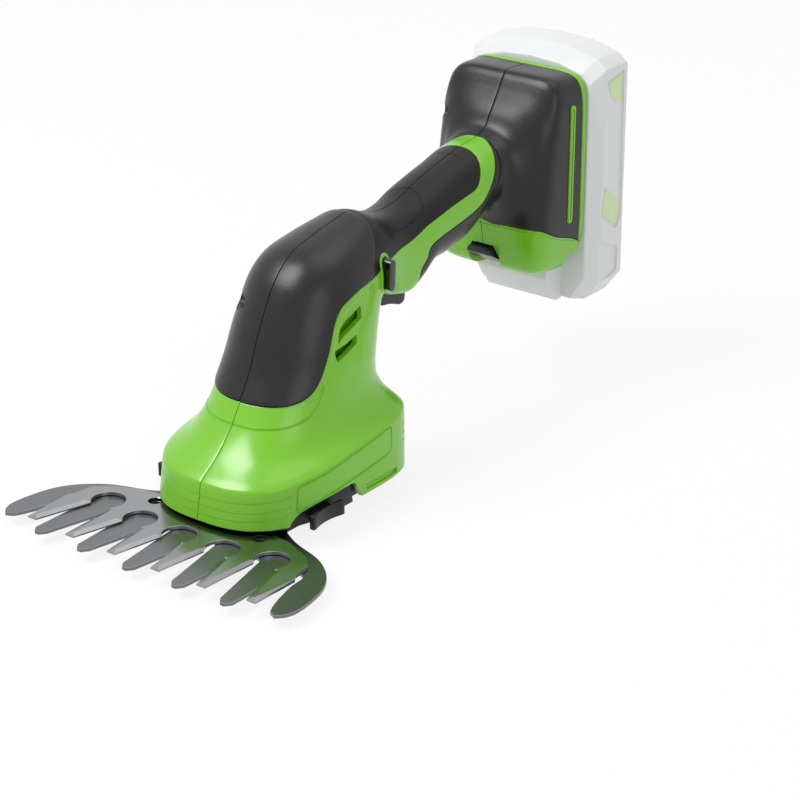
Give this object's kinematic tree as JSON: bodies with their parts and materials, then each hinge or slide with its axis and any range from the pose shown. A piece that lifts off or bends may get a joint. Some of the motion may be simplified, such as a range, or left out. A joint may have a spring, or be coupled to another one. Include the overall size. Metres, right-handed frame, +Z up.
{
  "type": "cordless grass shears",
  "caption": "Hand-held cordless grass shears with a quick-change comb cutter, geared head, trigger grip and slide-on battery pack",
  "frame": {"origin": "centre of the head's base, on the floor under the cutter's mount plate", "axes": "+X across the tool to its right, -Y forward over the teeth, +Z up; X = 0 is the parting plane"},
  "size_m": [0.152, 0.2984, 0.1578],
  "materials": {
    "green_plastic": "satin moulded green plastic",
    "charcoal_plastic": "fine-textured charcoal plastic",
    "grip": "soft charcoal grip rubber",
    "bright_steel": "ground steel",
    "dark_steel": "rolled steel, not polished",
    "brass": "plain machined brass",
    "pale_plastic": "pale grey case plastic"
  },
  "bodies": {
    "housing": {"body_shell_left": "green_plastic", "body_shell_right": "green_plastic", "hood_left": "charcoal_plastic", "hood_right": "charcoal_plastic", "grip_left": "grip", "grip_right": "grip", "under_grip_left": "charcoal_plastic", "under_grip_right": "charcoal_plastic", "dock_shell_left": "charcoal_plastic", "dock_shell_right": "charcoal_plastic", "dock_skirt_left": "green_plastic", "dock_skirt_right": "green_plastic", "dock_rim": "green_plastic", "side_accents": "green_plastic", "housing_screws": "bright_steel", "base_cover": "charcoal_plastic", "gear_frame": "dark_steel", "frame_screws": "bright_steel", "motor_can": "dark_steel", "gear_axle": "bright_steel", "trigger_pin": "bright_steel", "trigger_spring": "bright_steel", "switch_body": "charcoal_plastic", "latch_pin": "bright_steel", "battery_socket": "charcoal_plastic", "socket_blades": "brass"},
    "rotor": {"motor_shaft": "bright_steel", "pinion": "brass"},
    "gear": {"drive_gear": "brass", "crank_pin": "bright_steel"},
    "cutter": {"mount_plate": "charcoal_plastic", "lower_blade": "dark_steel", "guide_studs": "bright_steel"},
    "upper_comb": {"upper_blade": "bright_steel", "drive_yoke": "bright_steel", "yoke_rivets": "bright_steel"},
    "release_left": {"release_button_left": "charcoal_plastic"},
    "release_right": {"release_button_right": "charcoal_plastic"},
    "trigger": {"trigger": "charcoal_plastic"},
    "lock_off": {"lock_off_bar": "charcoal_plastic"},
    "latch": {"battery_latch": "charcoal_plastic"},
    "battery": {"pack_front": "pale_plastic", "pack_back": "pale_plastic", "pack_cells": "dark_steel", "pack_clips": "brass"}
  },
  "joints": [
    {"name": "gear_turn", "type": "hinge", "parent": "housing", "child": "gear", "pos_m": [0, -0.00792, 0.02], "axis": [0, 0, 1], "range_deg": [-90, 90]},
    {"name": "motor_turn", "type": "hinge", "parent": "housing", "child": "rotor", "pos_m": [0, 0.01458, 0.02], "axis": [0, 0, 1], "range_deg": [-360, 360]},
    {"name": "cutter_drop", "type": "slide", "parent": "housing", "child": "cutter", "axis": [0, 0, 1], "range_m": [-0.03, 0]},
    {"name": "blade_stroke", "type": "slide", "parent": "cutter", "child": "upper_comb", "axis": [1, 0, 0], "range_m": [-0.009, 0.009]},
    {"name": "release_left_press", "type": "slide", "parent": "housing", "child": "release_left", "axis": [1, 0, 0], "range_m": [0, 0.0025], "stiffness_N_per_m": 400, "springref_m": -0.001},
    {"name": "release_right_press", "type": "slide", "parent": "housing", "child": "release_right", "axis": [-1, 0, 0], "range_m": [0, 0.0025], "stiffness_N_per_m": 400, "springref_m": -0.001},
    {"name": "trigger_pull", "type": "hinge", "parent": "housing", "child": "trigger", "pos_m": [0, 0.06048, 0.08055], "axis": [1, 0, 0], "range_deg": [0, 9], "stiffness_Nm_per_rad": 0.15, "springref_deg": -5.73, "deforming": ["trigger_spring"]},
    {"name": "lock_off_slide", "type": "slide", "parent": "housing", "child": "lock_off", "axis": [1, 0, 0], "range_m": [-0.0025, 0.0025], "stiffness_N_per_m": 300},
    {"name": "latch_flip", "type": "hinge", "parent": "housing", "child": "latch", "pos_m": [0, 0.15552, 0.06375], "axis": [1, 0, 0], "range_deg": [0, 10], "stiffness_Nm_per_rad": 0.1, "springref_deg": -5.73},
    {"name": "battery_slide", "type": "slide", "parent": "housing", "child": "battery", "axis": [0, 0, 1], "range_m": [-0.09, 0]}
  ],
  "couplings": [
    {"joint": "motor_turn", "follows": "gear_turn", "ratio": -4},
    {"joint": "blade_stroke", "follows": "gear_turn", "m_per_rad": -0.0057296}
  ]
}
